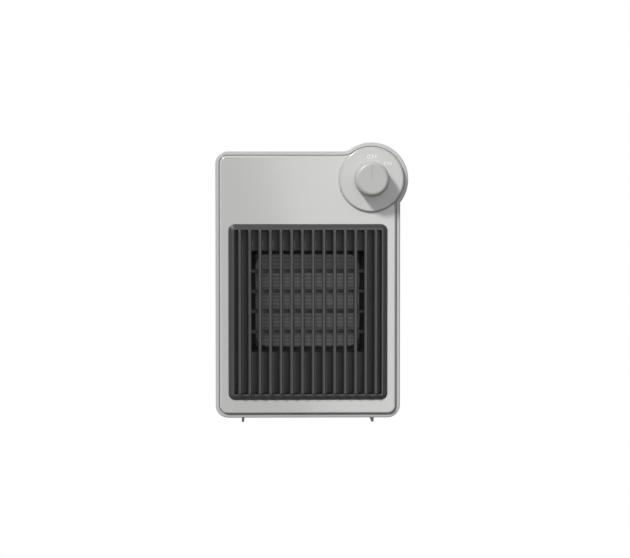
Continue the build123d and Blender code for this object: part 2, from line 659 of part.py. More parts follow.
def front_grille():
    outline = rounded(0, GRILLE_Z, GRILLE_WIDTH, GRILLE_HEIGHT, GRILLE_CORNER)
    frame = slab(outline, -GRILLE_STEP, 0)
    frame += raised(outline, -GRILLE_STEP, -GRILLE_CREST, GRILLE_SLOPE)
    skirt_width = PANEL_OPEN_WIDTH - 2 * FIT
    skirt_height = PANEL_OPEN_HEIGHT - 2 * FIT
    skirt = rounded(0, GRILLE_Z, skirt_width, skirt_height, GRILLE_SKIRT_CORNER)
    frame += slab(skirt, 0, DUCT_PLATE_DEPTH)
    opening = rounded(0, GRILLE_Z, GRILLE_OPEN_WIDTH, GRILLE_OPEN_HEIGHT, GRILLE_OPEN_CORNER)
    frame -= slab(opening, -GRILLE_CREST, DUCT_PLATE_DEPTH)
    for x in bar_places():
        frame += grille_bar(x)
    return frame


def stack_screw_places():
    return [(x, DUCT_Z + z) for x, z in corners(STACK_SCREW_OFFSET, STACK_SCREW_OFFSET)]


def outlet_duct():
    outline = rounded(0, GRILLE_Z, DUCT_PLATE_WIDTH, DUCT_PLATE_HEIGHT, DUCT_PLATE_CORNER)
    plate = slab(outline, DUCT_PLATE_DEPTH, DUCT_PLATE_BACK)
    outer_width = DUCT_WIDTH + 2 * DUCT_WALL
    outer_height = DUCT_HEIGHT + 2 * DUCT_WALL
    outer = rounded(0, DUCT_Z, outer_width, outer_height, DUCT_CORNER + DUCT_WALL)
    plate += slab(outer, DUCT_PLATE_DEPTH, DUCT_END_DEPTH, taper=DUCT_TAPER)
    opening = rounded(0, DUCT_Z, DUCT_WIDTH, DUCT_HEIGHT, DUCT_CORNER)
    plate -= slab(opening, DUCT_PLATE_DEPTH, DUCT_END_DEPTH, taper=DUCT_TAPER)
    for index in range(RIB_COUNT):
        z = DUCT_Z + (index - (RIB_COUNT - 1) / 2) * RIB_PITCH
        rib = rect(0, z, DUCT_WIDTH + DUCT_WALL, RIB_HEIGHT)
        plate += slab(rib, DUCT_PLATE_DEPTH, DUCT_PLATE_DEPTH + RIB_DEPTH)
    flange_front = BOX_END_DEPTH - FLANGE_THICKNESS
    for x, z in stack_screw_places():
        plate += rod(x, z, STACK_POST_RADIUS, DUCT_PLATE_BACK, flange_front)
        plate -= pilot(x, z, flange_front - PILOT_DEPTH, flange_front)
    for x, z in panel_post_places():
        plate -= rod(x, z, SCREW_HOLE, DUCT_PLATE_DEPTH, DUCT_PLATE_BACK)
    return plate


def panel_screws():
    end = PANEL_THICKNESS + SCREW_TIP_GAP
    return [screw(x, z, DUCT_PLATE_BACK, end) for x, z in panel_post_places()]


def guard_mesh():
    """Spot-welded wire guard: a flat border with upright and level wires across its window."""
    width = BOX_WIDTH - 2 * FIT
    height = BOX_HEIGHT - 2 * FIT
    inner_width = width - 2 * GUARD_BORDER
    inner_height = height - 2 * GUARD_BORDER
    sheet = rounded(0, DUCT_Z, width, height, GUARD_CORNER)
    sheet -= rounded(0, DUCT_Z, inner_width, inner_height, GUARD_WINDOW_CORNER)
    for index in range(1, GUARD_COLUMNS + 1):
        x = -inner_width / 2 + index * inner_width / (GUARD_COLUMNS + 1)
        sheet += rect(x, DUCT_Z, GUARD_WIRE, inner_height + 2 * GUARD_WELD)
    for index in range(1, GUARD_ROWS + 1):
        z = DUCT_Z - inner_height / 2 + index * inner_height / (GUARD_ROWS + 1)
        sheet += rect(0, z, inner_width + 2 * GUARD_WELD, GUARD_WIRE)
    return slab(sheet, GUARD_DEPTH, GUARD_DEPTH + GUARD_THICKNESS)


def heater_box():
    outer_width = BOX_WIDTH + 2 * BOX_WALL
    outer_height = BOX_HEIGHT + 2 * BOX_WALL
    box = slab(rounded(0, DUCT_Z, outer_width, outer_height, BOX_CORNER), BOX_FRONT, BOX_END_DEPTH)
    flange = rounded(0, DUCT_Z, FLANGE_SIZE, FLANGE_SIZE, FLANGE_CORNER)
    box += slab(flange, BOX_END_DEPTH - FLANGE_THICKNESS, BOX_END_DEPTH)
    inside = rounded(0, DUCT_Z, BOX_WIDTH, BOX_HEIGHT, BOX_INNER_CORNER)
    box -= slab(inside, GUARD_DEPTH, BOX_END_DEPTH)
    window = rounded(0, DUCT_Z, WINDOW_WIDTH, WINDOW_HEIGHT, WINDOW_CORNER)
    box -= slab(window, BOX_FRONT, GUARD_DEPTH)
    for x, z in stack_screw_places():
        box -= rod(x, z, STACK_POST_RADIUS + FIT, BOX_FRONT, BOX_END_DEPTH - FLANGE_THICKNESS)
        box -= rod(x, z, SCREW_HOLE, BOX_END_DEPTH - FLANGE_THICKNESS, BOX_END_DEPTH)
    half_slot = TAB_THICKNESS / 2 + FIT
    for z in tab_levels():
        cut = rect(-BOX_WIDTH / 2 - BOX_WALL / 2, z, 2 * BOX_WALL, TAB_WIDTH + 2 * FIT)
        box -= slab(cut, ELEMENT_MIDDLE - half_slot, ELEMENT_MIDDLE + half_slot)
    return box


# heating element

def fin_row_low(index):
    return STACK_LOW + RAIL_HEIGHT + index * (FIN_ROW_HEIGHT + HEATER_BAR_HEIGHT)


def heater_bar_low(index):
    return fin_row_low(index) + FIN_ROW_HEIGHT


def tab_levels():
    return [heater_bar_low(index) + HEATER_BAR_HEIGHT / 2 for index in (0, 1, 3)]


def fin_row(index):
    """A row of thin upright fins between two foil strips."""
    low = fin_row_low(index)
    middle = low + FIN_ROW_HEIGHT / 2
    section = rect(0, low + FIN_THICKNESS / 2, FIN_WIDTH, FIN_THICKNESS)
    section += rect(0, low + FIN_ROW_HEIGHT - FIN_THICKNESS / 2, FIN_WIDTH, FIN_THICKNESS)
    pitch = FIN_WIDTH / FIN_COUNT
    for number in range(FIN_COUNT):
        x = -FIN_WIDTH / 2 + (number + 0.5) * pitch
        section += rect(x, middle, FIN_THICKNESS, FIN_ROW_HEIGHT)
    return slab(section, PTC_DEPTH + FIN_SETBACK, PTC_BACK - FIN_SETBACK)


def heater_bar(index):
    z = heater_bar_low(index) + HEATER_BAR_HEIGHT / 2
    front = ELEMENT_MIDDLE - HEATER_BAR_THICKNESS / 2
    width = FIN_WIDTH + 2 * PTC_CAP_GRIP
    return slab(rect(0, z, width, HEATER_BAR_HEIGHT), front, front + HEATER_BAR_THICKNESS)


def element_rails():
    rails = []
    for low in (STACK_LOW, STACK_LOW + STACK_HEIGHT - RAIL_HEIGHT):
        strip = rect(0, low + RAIL_HEIGHT / 2, FIN_WIDTH + 2 * PTC_CAP_GRIP, RAIL_HEIGHT)
        rails.append(slab(strip, PTC_DEPTH + RAIL_SETBACK, PTC_BACK - RAIL_SETBACK))
    return rails


def element_cap(side):
    """Moulded end cap with pockets for the heater bars and the rails."""
    x = side * (ELEMENT_WIDTH / 2 - PTC_CAP_WIDTH / 2)
    height = BOX_HEIGHT - 2 * FIT
    cap = slab(rounded(x, DUCT_Z, PTC_CAP_WIDTH, height, PTC_CAP_CORNER), PTC_DEPTH, PTC_BACK)
    for rail in element_rails():
        cap -= rail
    for index in range(FIN_ROWS - 1):
        cap -= heater_bar(index)
    if side < 0:
        for z in tab_levels():
            cap -= terminal_tab(z)
    return cap


def terminal_tab(z):
    inner = -FIN_WIDTH / 2 - PTC_CAP_GRIP
    strip = rect((inner + TAB_END_X) / 2, z, inner - TAB_END_X, TAB_WIDTH - FIT)
    return slab(strip, ELEMENT_MIDDLE - TAB_THICKNESS / 2, ELEMENT_MIDDLE + TAB_THICKNESS / 2)


def element_terminals():
    return [terminal_tab(z) for z in tab_levels()]


def thermal_cutout():
    """Bimetal disc thermostat standing on the heater box, with two blade terminals."""
    can = column(0, ELEMENT_MIDDLE, CUTOUT_RADIUS, BOX_TOP, BOX_TOP + CUTOUT_HEIGHT)
    can = fillet(can.edges().filter_by(GeomType.CIRCLE).sort_by(Axis.Z)[-1], CUTOUT_ROUND)
    for x in (-CUTOUT_TAB_OFFSET, CUTOUT_TAB_OFFSET):
        can += block(x, ELEMENT_MIDDLE, BOX_TOP + CUTOUT_HEIGHT, TAB_THICKNESS, TAB_WIDTH, TAB_LENGTH)
    return can


def thermal_fuse():
    lead = FUSE_LENGTH / 2 + FUSE_LEAD
    z = BOX_TOP + FUSE_RADIUS
    place = Pos(BODY_X - FUSE_OFFSET - lead, PANEL_Y + ELEMENT_MIDDLE, z)
    can = place * Rot(0, 90, 0) * Cylinder(FUSE_RADIUS, FUSE_LENGTH)
    leads = place * Rot(0, 90, 0) * Cylinder(FUSE_LEAD_RADIUS, 2 * lead)
    return can + leads


# fan

def fan_shroud():
    flange = rounded(0, DUCT_Z, FLANGE_SIZE, FLANGE_SIZE, FLANGE_CORNER)
    shroud = slab(flange, SHROUD_DEPTH, SHROUD_DEPTH + FLANGE_THICKNESS)
    shroud += rod(0, DUCT_Z, SHROUD_RADIUS + SHROUD_WALL, SHROUD_DEPTH, SHROUD_END_DEPTH)
    for x, z in spider_places():
        shroud += rod(x, z, SPIDER_POST_RADIUS, SHROUD_DEPTH, SHROUD_END_DEPTH)
        shroud -= pilot(x, z, SHROUD_END_DEPTH - PILOT_DEPTH, SHROUD_END_DEPTH)
    shroud -= rod(0, DUCT_Z, SHROUD_RADIUS, SHROUD_DEPTH, SHROUD_END_DEPTH)
    for x, z in stack_screw_places():
        shroud -= rod(x, z, SCREW_HOLE, SHROUD_DEPTH, SHROUD_DEPTH + FLANGE_THICKNESS)
    return shroud


def spider_places():
    """Four screws on the level and upright lines through the fan's middle."""
    reach = SPIDER_BOLT_RADIUS
    return [(reach, DUCT_Z), (-reach, DUCT_Z), (0, DUCT_Z + reach), (0, DUCT_Z - reach)]


def stack_screws():
    seat = SHROUD_DEPTH + FLANGE_THICKNESS
    end = BOX_END_DEPTH - FLANGE_THICKNESS - PILOT_DEPTH + SCREW_END_GAP
    return [screw(x, z, seat, end) for x, z in stack_screw_places()]


def spider_screws():
    seat = SPIDER_DEPTH + SPIDER_THICKNESS
    end = SHROUD_END_DEPTH - PILOT_DEPTH + SCREW_END_GAP
    return [screw(x, z, seat, end) for x, z in spider_places()]


def motor_spider():
    """Flat pressed cross that carries the motor behind the fan."""
    reach = 2 * SPIDER_BOLT_RADIUS
    cross = rect(0, DUCT_Z, reach, SPIDER_ARM) + rect(0, DUCT_Z, SPIDER_ARM, reach)
    for x, z in spider_places():
        cross += Pos(x, z) * Circle(SPIDER_ARM / 2)
        cross -= Pos(x, z) * Circle(SCREW_HOLE)
    cross += Pos(0, DUCT_Z) * Circle(STATOR_BELOW)
    cross += rect(0, DUCT_Z, 2 * MOTOR_BOLT_OFFSET + SPIDER_ARM, SPIDER_ARM)
    cross -= Pos(0, DUCT_Z) * Circle(BUSH_RADIUS + HOUSING_WALL + FIT)
    for x in (-MOTOR_BOLT_OFFSET, MOTOR_BOLT_OFFSET):
        cross -= Pos(x, DUCT_Z) * Circle(SCREW_RADIUS + PILOT_CLEARANCE)
    return slab(cross, SPIDER_DEPTH, SPIDER_DEPTH + SPIDER_THICKNESS)


def impeller():
    fan_back = FAN_DEPTH + FAN_LENGTH
    hub = rod(0, DUCT_Z, HUB_RADIUS, FAN_DEPTH, fan_back)
    hub = fillet(largest_wire_edges(hub, FAN_DEPTH), HUB_ROUND)
    hub -= rod(0, DUCT_Z, HUB_RADIUS - HUB_WALL, FAN_DEPTH + HUB_FACE, fan_back)
    hub += rod(0, DUCT_Z, SHAFT_RADIUS + HUB_SLEEVE, FAN_DEPTH, fan_back)
    tip = SHROUD_RADIUS - FAN_TIP_GAP
    chord = (FAN_LENGTH - 2 * BLADE_SETBACK) / math.sin(math.radians(BLADE_PITCH))
    blade_length = tip - HUB_RADIUS + 2 * BLADE_ROOT
    trim = ring(0, DUCT_Z, tip, HUB_RADIUS - BLADE_ROOT, FAN_DEPTH, fan_back)
    centre = Pos(BODY_X, PANEL_Y + FAN_DEPTH + FAN_LENGTH / 2, DUCT_Z)
    for number in range(BLADE_COUNT):
        turn = 360 / BLADE_COUNT * number
        vane = Pos(0, 0, HUB_RADIUS - BLADE_ROOT + blade_length / 2) * Rot(0, 0, BLADE_PITCH)
        vane = vane * Box(chord, BLADE_THICKNESS, blade_length)
        hub += (centre * Rot(0, turn, 0) * vane) & trim
    hub -= rod(0, DUCT_Z, SHAFT_RADIUS + SEAT, FAN_DEPTH, fan_back)
    return hub


def motor_shaft():
    return rod(0, DUCT_Z, SHAFT_RADIUS, FAN_DEPTH - SHAFT_PAST_FAN, STATOR_BACK + SHAFT_PAST_STATOR)


def motor_rotor():
    front = STATOR_DEPTH + ROTOR_SETBACK
    return ring(0, DUCT_Z, ROTOR_RADIUS, SHAFT_RADIUS + SEAT, front, STATOR_BACK - ROTOR_SETBACK)


def motor_stator():
    height = STATOR_BELOW + STATOR_ABOVE
    middle = DUCT_Z + (STATOR_ABOVE - STATOR_BELOW) / 2
    section = rounded(0, middle, STATOR_WIDTH, height, STATOR_CORNER)
    section -= Pos(0, DUCT_Z) * Circle(ROTOR_RADIUS + ROTOR_GAP)
    window_low = DUCT_Z + STATOR_BELOW - STATOR_STEP
    window_high = DUCT_Z + STATOR_ABOVE - STATOR_LIMB
    window_middle = (window_low + window_high) / 2
    section -= rect(0, window_middle, STATOR_WIDTH - 2 * STATOR_LEG, window_high - window_low)
    for x in (-MOTOR_BOLT_OFFSET, MOTOR_BOLT_OFFSET):
        section -= Pos(x, DUCT_Z) * Circle(SCREW_HOLE)
    return slab(section, STATOR_DEPTH, STATOR_BACK)


def motor_coil():
    """Taped winding round the stator's top limb."""
    bundle = rounded(0, LIMB_MIDDLE, COIL_WIDTH, STATOR_LIMB + 2 * COIL_BUILD, COIL_CORNER)
    coil = slab(bundle, STATOR_DEPTH - COIL_PAST_STATOR, STATOR_BACK + COIL_PAST_STATOR)
    limb = rect(0, LIMB_MIDDLE, STATOR_WIDTH, STATOR_LIMB + 2 * SEAT)
    return coil - slab(limb, STATOR_DEPTH - SEAT, STATOR_BACK + SEAT)


def bearing_strap(strap_front, pad_front, pad_back, bush_front):
    """Pressed strap with a cup for the sintered bush and a pad at each end."""
    outline = rounded(0, DUCT_Z, STATOR_WIDTH, STRAP_WIDTH, STRAP_CORNER)
    strap = slab(outline, strap_front, strap_front + STRAP_THICKNESS)
    for x in (-MOTOR_BOLT_OFFSET, MOTOR_BOLT_OFFSET):
        pad = rect(x, DUCT_Z, STATOR_WIDTH - 2 * MOTOR_BOLT_OFFSET, STRAP_WIDTH)
        strap += slab(pad, pad_front, pad_back)
        strap -= rod(x, DUCT_Z, SCREW_HOLE, pad_front - STRAP_THICKNESS, pad_back + STRAP_THICKNESS)
    housing_back = bush_front + BUSH_LENGTH
    strap += rod(0, DUCT_Z, BUSH_RADIUS + HOUSING_WALL, bush_front, housing_back)
    return strap - rod(0, DUCT_Z, BUSH_RADIUS + SEAT, bush_front, housing_back)


def front_strap():
    return bearing_strap(STRAP_FRONT, STRAP_FRONT, STATOR_DEPTH, BUSH_FRONT)


def rear_strap():
    return bearing_strap(STRAP_BACK, STATOR_BACK, STRAP_BACK + STRAP_THICKNESS, BUSH_BACK)


def bush(front):
    return ring(0, DUCT_Z, BUSH_RADIUS, SHAFT_RADIUS + RUNNING, front, front + BUSH_LENGTH)


def motor_bolts():
    seat = STRAP_BACK + STRAP_THICKNESS
    end = SPIDER_DEPTH + SCREW_TIP_GAP
    return [screw(x, DUCT_Z, seat, end) for x in (-MOTOR_BOLT_OFFSET, MOTOR_BOLT_OFFSET)]


# base

def foot(side):
    """Thin skid with a flange that holds it in a slot of the casing's floor."""
    x = side * FOOT_OFFSET
    blade_depth = (FOOT_START + FOOT_END) / 2
    blade = block(x, blade_depth, 0, FOOT_WIDTH, FOOT_END - FOOT_START, FOOT_HEIGHT)
    ends = blade.edges().filter_by(Axis.X).sort_by(Axis.Z)[:2]
    blade = fillet(ends, FOOT_ROUND)
    middle = (FOOT_FLANGE_START + FOOT_FLANGE_END) / 2
    length = FOOT_FLANGE_END - FOOT_FLANGE_START
    blade += block(x, middle, FOOT_HEIGHT, FOOT_WIDTH, length, WALL)
    blade += block(x, middle, FLOOR_INSIDE, FOOT_FLANGE_WIDTH, length, FOOT_FLANGE_THICKNESS)
    return blade


def tip_plunger():
    collar_low = TIP_GUIDE_TOP + TIP_TRAVEL + LOOSE
    collar_high = collar_low + TIP_COLLAR_THICKNESS
    pin = column(TIP_X, TIP_DEPTH, TIP_RADIUS, 0, collar_low)
    pin = fillet(pin.edges().filter_by(GeomType.CIRCLE).sort_by(Axis.Z)[0], TIP_ROUND)
    pin += column(TIP_X, TIP_DEPTH, TIP_COLLAR_RADIUS, collar_low, collar_high)
    return pin + column(TIP_X, TIP_DEPTH, TIP_STEM_RADIUS, collar_high, TIP_STEM_TOP)


def tip_spring():
    margin = SPRING_WIRE + SPRING_SEAT
    height = SPRING_HIGH - SPRING_LOW - 2 * margin
    path = Helix(height / SPRING_TURNS, height, SPRING_COIL)
    profile = Plane(origin=path @ 0, z_dir=path % 0) * Circle(SPRING_WIRE)
    coil = sweep(profile, path=path, is_frenet=True)
    return Pos(BODY_X + TIP_X, PANEL_Y + TIP_DEPTH, SPRING_LOW + margin) * coil


def tip_switch():
    low = TIP_SWITCH_BOTTOM
    body = block(TIP_X, TIP_DEPTH, low, TIP_SWITCH_WIDTH, TIP_SWITCH_THICKNESS, TIP_SWITCH_HEIGHT)
    ear_width = 2 * (TIP_EAR_OFFSET + POST_RADIUS)
    body += block(TIP_X, TIP_DEPTH, low, ear_width, TIP_SWITCH_THICKNESS, TIP_EAR_THICKNESS)
    stem_room = TIP_STEM_TOP + TIP_STEM_ROOM
    body -= column(TIP_X, TIP_DEPTH, TIP_STEM_RADIUS + LOOSE, low, stem_room)
    top = low + TIP_SWITCH_HEIGHT
    for x in (TIP_X - TIP_TAB_OFFSET, TIP_X + TIP_TAB_OFFSET):
        body += block(x, TIP_DEPTH, top, TAB_THICKNESS, TAB_WIDTH, TAB_LENGTH)
    for x in (TIP_X - TIP_EAR_OFFSET, TIP_X + TIP_EAR_OFFSET):
        body -= column(x, TIP_DEPTH, SCREW_HOLE, low, low + TIP_EAR_THICKNESS)
    return body


def tip_switch_screws():
    seat = TIP_SWITCH_BOTTOM + TIP_EAR_THICKNESS
    low = TIP_SWITCH_BOTTOM - TIP_SCREW_LENGTH + SCREW_TIP_GAP
    places = (TIP_X - TIP_EAR_OFFSET, TIP_X + TIP_EAR_OFFSET)
    return [upright_screw(x, TIP_DEPTH, seat, low) for x in places]


def terminal_block():
    low = TERMINAL_LOW
    body = block(TERMINAL_X, TERMINAL_DEPTH, low, TERMINAL_WIDTH, TERMINAL_THICKNESS, TERMINAL_HEIGHT)
    for x in (TERMINAL_X - TERMINAL_SCREW_X, TERMINAL_X + TERMINAL_SCREW_X):
        body -= column(x, TERMINAL_DEPTH, SCREW_HOLE, low, TERMINAL_SEAT)
        top = low + TERMINAL_HEIGHT
        body -= column(x, TERMINAL_DEPTH, SCREW_HEAD_RADIUS + FIT, TERMINAL_SEAT, top)
    for x in (-TERMINAL_PITCH, 0, TERMINAL_PITCH):
        place = Pos(BODY_X + TERMINAL_X + x, PANEL_Y + TERMINAL_DEPTH, low + TERMINAL_HEIGHT / 2)
        body -= place * Rot(90, 0, 0) * Cylinder(WIRE_RADIUS + FIT, TERMINAL_THICKNESS)
    return body


def terminal_screws():
    places = (TERMINAL_X - TERMINAL_SCREW_X, TERMINAL_X + TERMINAL_SCREW_X)
    end = FLOOR_INSIDE + SCREW_TIP_GAP
    return [upright_screw(x, TERMINAL_DEPTH, TERMINAL_SEAT, end) for x in places]


def cord_gland():
    """Moulded bush that leads the mains cord through the rear cover."""
    flange = rod(GLAND_X, GLAND_Z, GLAND_FLANGE, BACK_DEPTH, GLAND_BACK)
    flange = fillet(largest_wire_edges(flange, GLAND_BACK), GLAND_ROUND)
    front = GLAND_BACK - GLAND_LENGTH
    gland = flange + rod(GLAND_X, GLAND_Z, GLAND_RADIUS, front, BACK_DEPTH)
    gland += rod(GLAND_X, GLAND_Z, GLAND_RADIUS + GLAND_BARB, front, BACK_DEPTH - WALL)
    return gland - rod(GLAND_X, GLAND_Z, GLAND_BORE, front, GLAND_BACK)


# wiring

def wire(points, bend):
    """A round insulated wire along straight runs joined by arcs."""
    placed = [(BODY_X + x, PANEL_Y + depth, z) for x, depth, z in points]
    path = FilletPolyline(*placed, radius=bend)
    profile = Plane(origin=path @ 0, z_dir=path % 0) * Circle(WIRE_RADIUS)
    return sweep(profile, path=path)


TAB_FRONT = SEAT_BACK + SWITCH_LENGTH + TAB_LENGTH
SWITCH_TAB_Z = BOSS_Z - SWITCH_TAB_DROP
TIP_TAB_TOP = TIP_SWITCH_BOTTOM + TIP_SWITCH_HEIGHT + TAB_LENGTH
CUTOUT_TOP = BOX_TOP + CUTOUT_HEIGHT + TAB_LENGTH
TERMINAL_Z = TERMINAL_LOW + TERMINAL_HEIGHT / 2
FUSE_Z = BOX_TOP + FUSE_RADIUS
FUSE_LEFT = -FUSE_OFFSET - FUSE_LENGTH - 2 * FUSE_LEAD

WIRES = {
    "wire_live": [
        (TERMINAL_X + TERMINAL_PITCH, TERMINAL_DEPTH + 2, TERMINAL_Z),
        (TERMINAL_X + TERMINAL_PITCH, TERMINAL_DEPTH + 28, TERMINAL_Z),
        (TIP_X - TIP_TAB_OFFSET, TERMINAL_DEPTH + 28, TIP_TAB_TOP + 6),
        (TIP_X - TIP_TAB_OFFSET, TIP_DEPTH, TIP_TAB_TOP + 6),
        (TIP_X - TIP_TAB_OFFSET, TIP_DEPTH, TIP_TAB_TOP),
    ],
    "wire_neutral": [
        (TERMINAL_X - TERMINAL_PITCH, TERMINAL_DEPTH - 3, TERMINAL_Z),
        (TERMINAL_X - TERMINAL_PITCH, TERMINAL_DEPTH - 24, TERMINAL_Z),
        (-SIDE_RUN_X, TERMINAL_DEPTH - 24, TERMINAL_Z),
        (-SIDE_RUN_X, ELEMENT_MIDDLE, tab_levels()[0]),
        (TAB_END_X, ELEMENT_MIDDLE, tab_levels()[0]),
    ],
    "wire_switched": [
        (TIP_X + TIP_TAB_OFFSET, TIP_DEPTH, TIP_TAB_TOP),
        (TIP_X + TIP_TAB_OFFSET, TIP_DEPTH, TIP_TAB_TOP + 9),
        (SIDE_RUN_X, TIP_DEPTH + 4, TIP_TAB_TOP + 9),
        (SIDE_RUN_X, TIP_DEPTH + 4, SWITCH_TAB_Z - 11),
        (BOSS_X - SWITCH_TAB_PITCH, TAB_FRONT + 22, SWITCH_TAB_Z),
        (BOSS_X - SWITCH_TAB_PITCH, TAB_FRONT, SWITCH_TAB_Z),
    ],
    "wire_cutout": [
        (BOSS_X, TAB_FRONT, SWITCH_TAB_Z),
        (BOSS_X, TAB_FRONT + 18, SWITCH_TAB_Z),
        (CUTOUT_TAB_OFFSET, TAB_FRONT + 18, CUTOUT_TOP + 13),
        (CUTOUT_TAB_OFFSET, ELEMENT_MIDDLE, CUTOUT_TOP + 13),
        (CUTOUT_TAB_OFFSET, ELEMENT_MIDDLE, CUTOUT_TOP),
    ],
    "wire_fuse": [
        (-CUTOUT_TAB_OFFSET, ELEMENT_MIDDLE, CUTOUT_TOP),
        (-CUTOUT_TAB_OFFSET, ELEMENT_MIDDLE, CUTOUT_TOP + 8),
        (-FUSE_OFFSET + 7, ELEMENT_MIDDLE, CUTOUT_TOP + 8),
        (-FUSE_OFFSET + 7, ELEMENT_MIDDLE, FUSE_Z),
        (-FUSE_OFFSET, ELEMENT_MIDDLE, FUSE_Z),
    ],
    "wire_element": [
        (FUSE_LEFT, ELEMENT_MIDDLE, FUSE_Z),
        (FUSE_LEFT - 8, ELEMENT_MIDDLE, FUSE_Z),
        (FUSE_LEFT - 8, ELEMENT_MIDDLE, FUSE_Z + 21),
        (-SIDE_RUN_X, ELEMENT_MIDDLE, FUSE_Z + 21),
        (-SIDE_RUN_X, ELEMENT_MIDDLE, tab_levels()[-1]),
        (TAB_END_X, ELEMENT_MIDDLE, tab_levels()[-1]),
    ],
    "wire_motor_live": [
        (BOSS_X + SWITCH_TAB_PITCH, TAB_FRONT, SWITCH_TAB_Z),
        (BOSS_X + SWITCH_TAB_PITCH, MOTOR_RUN_DEPTH, SWITCH_TAB_Z),
        (MOTOR_LEAD_OFFSET, MOTOR_RUN_DEPTH, COIL_TOP + 34),
        (MOTOR_LEAD_OFFSET, MOTOR_RUN_DEPTH, COIL_TOP),
    ],
    "wire_motor_neutral": [
        (TERMINAL_X, TERMINAL_DEPTH + 4, TERMINAL_Z),
        (TERMINAL_X, MOTOR_RUN_DEPTH, TERMINAL_Z),
        (MOTOR_RUN_X, MOTOR_RUN_DEPTH, TERMINAL_Z),
        (MOTOR_RUN_X, MOTOR_RUN_DEPTH, COIL_TOP + 14),
        (-MOTOR_LEAD_OFFSET, MOTOR_RUN_DEPTH, COIL_TOP + 14),
        (-MOTOR_LEAD_OFFSET, MOTOR_RUN_DEPTH, COIL_TOP),
    ],
}


def save(node, shape):
    solids = shape if isinstance(shape, list) else shape.solids()
    if len(solids) == 1:
        export_step(solids[0], f"parts/{node}.step")
    else:
        export_step(Compound(children=list(solids)), f"parts/{node}.step")


def main():
    save("casing", casing())
    save("rear_cover", rear_cover())
    save("cover_screws", cover_screws())
    save("front_panel", front_panel())
    save("dial_plate", dial_plate())
    save("knob", knob())
    save("switch_shaft", switch_shaft())
    save("rotary_switch", rotary_switch())
    save("switch_nut", switch_nut())
    save("front_grille", front_grille())
    save("outlet_duct", outlet_duct())
    save("panel_screws", panel_screws())
    save("guard_mesh", guard_mesh())
    save("heater_box", heater_box())
    for index in range(FIN_ROWS):
        save(f"fin_row_{index + 1}", fin_row(index))
    for index in range(FIN_ROWS - 1):
        save(f"heater_bar_{index + 1}", heater_bar(index))
    save("element_rails", element_rails())
    save("element_cap_left", element_cap(-1))
    save("element_cap_right", element_cap(1))
    save("element_terminals", element_terminals())
    save("thermal_cutout", thermal_cutout())
    save("thermal_fuse", thermal_fuse())
    save("fan_shroud", fan_shroud())
    save("stack_screws", stack_screws())
    save("motor_spider", motor_spider())
    save("spider_screws", spider_screws())
    save("impeller", impeller())
    save("motor_shaft", motor_shaft())
    save("motor_rotor", motor_rotor())
    save("motor_stator", motor_stator())
    save("motor_coil", motor_coil())
    save("front_strap", front_strap())
    save("rear_strap", rear_strap())
    save("front_bush", bush(BUSH_FRONT))
    save("rear_bush", bush(BUSH_BACK))
    save("motor_bolts", motor_bolts())
    save("foot_left", foot(-1))
    save("foot_right", foot(1))
    save("tip_plunger", tip_plunger())
    save("tip_spring", tip_spring())
    save("tip_switch", tip_switch())
    save("tip_switch_screws", tip_switch_screws())
    save("terminal_block", terminal_block())
    save("terminal_screws", terminal_screws())
    save("cord_gland", cord_gland())
    for node, points in WIRES.items():
        save(node, wire(points, WIRE_BEND))


main()
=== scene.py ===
import math

import bmesh
import bpy
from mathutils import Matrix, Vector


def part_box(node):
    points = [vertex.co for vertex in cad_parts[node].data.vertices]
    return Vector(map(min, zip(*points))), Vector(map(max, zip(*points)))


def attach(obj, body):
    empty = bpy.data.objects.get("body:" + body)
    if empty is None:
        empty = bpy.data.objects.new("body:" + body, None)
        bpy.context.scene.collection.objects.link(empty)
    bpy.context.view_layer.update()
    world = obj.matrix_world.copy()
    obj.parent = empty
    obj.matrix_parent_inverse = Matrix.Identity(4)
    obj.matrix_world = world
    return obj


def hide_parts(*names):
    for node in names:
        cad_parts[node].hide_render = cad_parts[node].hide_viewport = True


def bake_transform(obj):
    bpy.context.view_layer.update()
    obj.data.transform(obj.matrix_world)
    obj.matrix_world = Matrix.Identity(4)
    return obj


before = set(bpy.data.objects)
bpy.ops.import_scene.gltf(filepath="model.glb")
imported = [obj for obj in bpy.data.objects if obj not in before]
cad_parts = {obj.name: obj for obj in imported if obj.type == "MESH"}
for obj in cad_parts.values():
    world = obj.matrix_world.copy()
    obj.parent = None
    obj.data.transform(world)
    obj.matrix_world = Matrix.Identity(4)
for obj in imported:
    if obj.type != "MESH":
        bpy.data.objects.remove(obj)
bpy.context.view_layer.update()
mm = 0.001

# The camera: a long lens a little to the left of the heater and a little above its middle.
# The view's centre falls right of the body's axis and above its middle.
cover_low, cover_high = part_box("rear_cover")
body_x = (cover_low[0] + cover_high[0]) / 2
body_z = (cover_low[2] + cover_high[2]) / 2
panel_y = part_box("front_panel")[0][1]
view_distance = 2.0
view_width = 0.630
view_azimuth = math.radians(1.2)
view_elevation = math.radians(2.5)
view_right = 7.1 * mm
view_up = 6.0 * mm
view_target = (body_x + view_right, panel_y, body_z + view_up)
view_level = math.cos(view_elevation) * view_distance
camera_data = bpy.data.cameras.new("camera")
camera_data.sensor_width = 36.0
camera_data.lens = camera_data.sensor_width * view_distance / view_width
camera = bpy.data.objects.new("camera", camera_data)
camera.location = (
    view_target[0] - math.sin(view_azimuth) * view_level,
    view_target[1] - math.cos(view_azimuth) * view_level,
    view_target[2] + math.sin(view_elevation) * view_distance,
)
camera.rotation_euler = (math.pi / 2 - view_elevation, 0.0, -view_azimuth)
bpy.context.scene.collection.objects.link(camera)
bpy.context.scene.camera = camera
bpy.context.scene.view_settings.view_transform = "Standard"


